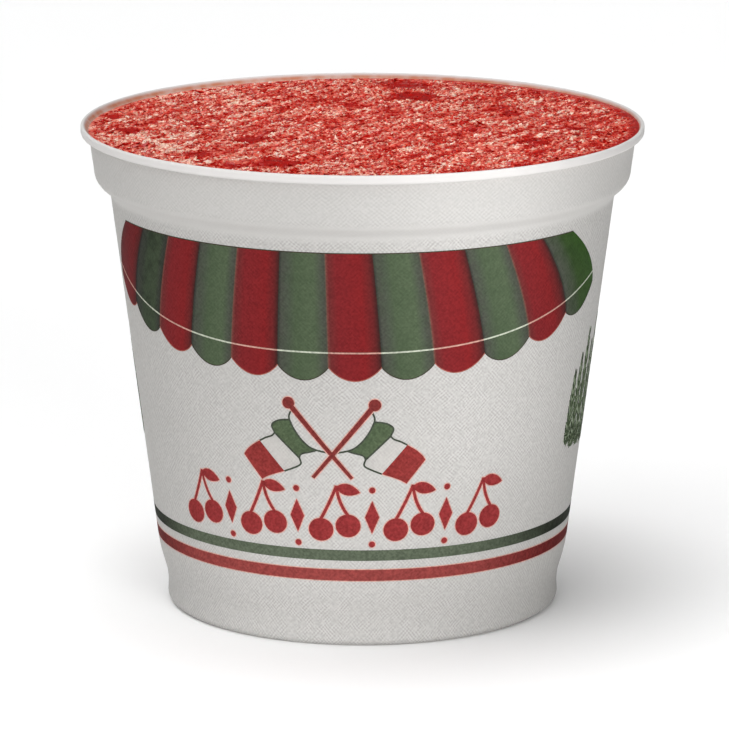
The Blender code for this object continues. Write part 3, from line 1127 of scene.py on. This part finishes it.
def tree_leaves(draw, tree, count, breadth):
    """Thin leaves that lean up and outward from a tree's stem."""
    middle, top, width = tree
    leaves = []
    for share in np.linspace(0.04, 0.93, count):
        level = TREE_FOOT + (top - TREE_FOOT) * share
        spread = width / 2 * math.sin(math.pi * (0.3 + 0.68 * share)) ** 0.8
        for side in (1, -1):
            inner = middle + side * spread * draw.uniform(0.0, 0.35)
            outer = middle + side * spread * draw.uniform(0.75, 1.15)
            leaves.append(stroke((inner, level), (outer, level + draw.uniform(1.0, 1.7)), breadth))
    return leaves


def bush_leaves(draw, bush, count, breadth):
    """Short leaves that point every way from inside a round bush."""
    middle, height, radius = bush
    leaves = []
    for turn in np.linspace(-2.6, 2.6, count):
        inner = radius * draw.uniform(0.1, 0.6)
        outer = radius * draw.uniform(0.85, 1.15)
        heading = np.array((math.sin(turn), math.cos(turn)))
        centre = np.array((middle, height))
        leaves.append(stroke(centre + inner * heading, centre + outer * heading, breadth))
    return leaves


def grove_forms():
    """The plain forms under the leaves: slim shapes for the trees, discs for the bushes."""
    forms = []
    for middle, top, width in GROVE_TREES:
        forms.append((leaf(top - TREE_FOOT, 0.7 * width, 90) + (middle, TREE_FOOT)) * MM)
    for middle, height, radius in GROVE_BUSHES:
        forms.append((disc() * 0.85 * radius + (middle, height)) * MM)
    return forms


def make_groves():
    """A small grove of slim trees and bushes on each side, between the awnings."""
    for layer, (name, colour, tree_count, bush_count, breadth, seed) in enumerate(GROVE_INKS):
        draw = np.random.default_rng(seed)
        forms = grove_forms() if layer == 0 else []
        for tree in GROVE_TREES:
            forms += tree_leaves(draw, tree, tree_count, breadth)
        for bush in GROVE_BUSHES:
            forms += bush_leaves(draw, bush, bush_count, breadth)
        grids = [around(form, angle, GROVE_HEIGHT) for angle in GROVE_ANGLES for form in forms]
        make_print("grove_" + name, grids, plain_ink(name + " tree ink", colour), layer)


def make_floor():
    mesh = bpy.data.meshes.new("floor")
    corners = [(x * FLOOR_REACH, y * FLOOR_REACH, 0) for x, y in ((-1, -1), (1, -1), (1, 1), (-1, 1))]
    mesh.from_pydata(corners, [], [(0, 1, 2, 3)])
    mesh.materials.append(floor_material())
    floor = new_object("floor", mesh)


def point_at(thing, target):
    thing.rotation_euler = (Vector(target) - thing.location).to_track_quat("-Z", "Y").to_euler()


def make_lamp(name, kind, azimuth, elevation, energy, target=LIT_POINT, **settings):
    """A lamp seen from its target at these degrees, facing it."""
    light = bpy.data.lights.new(name, kind)
    light.energy = energy
    for setting, value in settings.items():
        setattr(light, setting, value)
    lamp = new_object(name, light)
    lamp.visible_camera = kind == "SUN"
    turn, rise = math.radians(azimuth), math.radians(elevation)
    away = (math.sin(turn) * math.cos(rise), -math.cos(turn) * math.cos(rise), math.sin(rise))
    lamp.location = Vector(target) + Vector(away) * LAMP_DISTANCE
    point_at(lamp, target)


def make_soft_box(name, azimuth, elevation, size, level):
    """A round soft box that gives a white surface facing it this level."""
    energy = level * (math.pi * LAMP_DISTANCE) ** 2
    make_lamp(name, "AREA", azimuth, elevation, energy, shape="DISK", size=size)


def make_wide_light(name, azimuth, elevation, spread, level):
    """Light from a wide patch of sky, which gives a white surface this level."""
    make_lamp(name, "SUN", azimuth, elevation, level * math.pi, angle=math.radians(spread))


def make_pool(name, azimuth, elevation, spread, target, level):
    """A pool of light this many degrees wide each way, which gives its middle this level."""
    energy = 4 * level * (math.pi * LAMP_DISTANCE) ** 2
    shape = {"spot_size": 2 * math.radians(spread), "spot_blend": 1, "shadow_soft_size": POOL_LAMP_RADIUS}
    make_lamp(name, "SPOT", azimuth, elevation, energy, target, **shape)


def make_world():
    """Soft light from the left, fading to none from the right; what the camera sees of it is white."""
    world = bpy.data.worlds.new("studio")
    nodes = Nodes(world, "Background")
    level = nodes.span(nodes.split("Generated")[0], -1.0, 1.0, WORLD_LEFT, 0.0)
    seen = nodes.make("ShaderNodeLightPath").outputs["Is Camera Ray"]
    nodes.put(nodes.last.inputs["Color"], (1, 1, 1, 1))
    nodes.put(nodes.last.inputs["Strength"], nodes.math("MAXIMUM", level, seen))
    bpy.context.scene.world = world


def make_lights():
    make_soft_box("key", azimuth=22, elevation=14, size=0.40, level=0.50)
    make_soft_box("fill", azimuth=-55, elevation=8, size=0.50, level=0.20)
    make_pool("collar glow", azimuth=27, elevation=8, spread=1.6, target=COLLAR_POINT, level=0.48)
    make_pool("body glow", azimuth=28, elevation=8, spread=1.55, target=BODY_POINT, level=0.36)
    make_pool("low glow", azimuth=0, elevation=4, spread=2.9, target=LOW_POINT, level=0.24)
    make_wide_light("top", azimuth=210, elevation=82, spread=44, level=0.65)
    make_wide_light("front", azimuth=-38, elevation=55, spread=60, level=0.42)
    make_world()
    bpy.context.scene.view_settings.view_transform = "Standard"


def make_camera():
    camera = new_object("camera", bpy.data.cameras.new("camera"))
    camera.data.lens = CAMERA_LENS
    camera.data.sensor_width = 36
    camera.location = (
        TARGET[0],
        TARGET[1] - CAMERA_DISTANCE * math.cos(CAMERA_ELEVATION),
        TARGET[2] + CAMERA_DISTANCE * math.sin(CAMERA_ELEVATION),
    )
    point_at(camera, TARGET)
    bpy.context.scene.camera = camera


make_cup()
make_ice()
make_all_grains()
make_awning()
make_bands()
make_flags()
make_ornaments()
make_groves()
make_floor()
make_lights()
make_camera()
